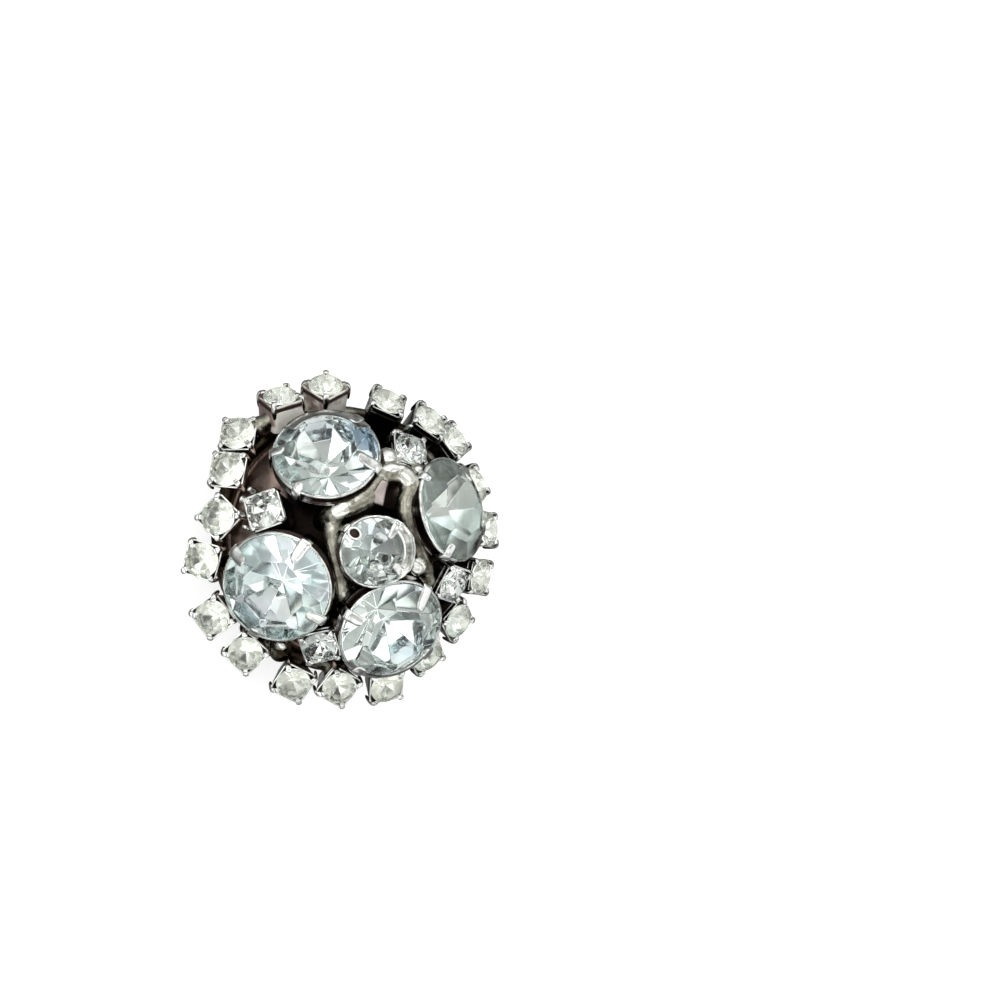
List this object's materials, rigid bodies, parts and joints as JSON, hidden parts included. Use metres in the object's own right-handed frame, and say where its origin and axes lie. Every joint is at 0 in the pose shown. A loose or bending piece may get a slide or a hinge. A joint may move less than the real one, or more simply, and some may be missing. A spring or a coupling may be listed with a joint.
{
  "type": "clip-on earring",
  "caption": "Domed cluster clip-on earring: round cut stones in soldered claw cups, a rim of small cut stones in square cups, and a bent clip behind.",
  "frame": {"origin": "on the paddle's lower face, under the middle of the dome", "axes": "+Z out of the dome, away from the ear; +Y towards the edge that is up as worn"},
  "size_m": [0.027, 0.0276, 0.0173],
  "materials": {
    "setting_metal": "rhodium-toned cast and soldered metal, dark in its recesses",
    "clip_metal": "plated sheet metal, lightly rubbed",
    "big_stone": "clear foiled cut glass with a pale ice-blue cast",
    "small_stone": "clear foiled cut glass with a warm cast"
  },
  "bodies": {
    "root": {"setting_frame": "setting_metal", "ear_clip": "clip_metal", "centre_stone": "big_stone", "main_stone_1": "big_stone", "main_stone_2": "big_stone", "main_stone_3": "big_stone", "main_stone_4": "big_stone", "accent_stone_1": "small_stone", "accent_stone_2": "small_stone", "accent_stone_3": "small_stone", "accent_stone_4": "small_stone", "rim_stone_01": "small_stone", "rim_stone_02": "small_stone", "rim_stone_03": "small_stone", "rim_stone_04": "small_stone", "rim_stone_05": "small_stone", "rim_stone_06": "small_stone", "rim_stone_07": "small_stone", "rim_stone_08": "small_stone", "rim_stone_09": "small_stone", "rim_stone_10": "small_stone", "rim_stone_11": "small_stone", "rim_stone_12": "small_stone", "rim_stone_13": "small_stone", "rim_stone_14": "small_stone", "rim_stone_15": "small_stone", "rim_stone_16": "small_stone", "rim_stone_17": "small_stone", "rim_stone_18": "small_stone", "rim_stone_19": "small_stone"}
  },
  "joints": []
}
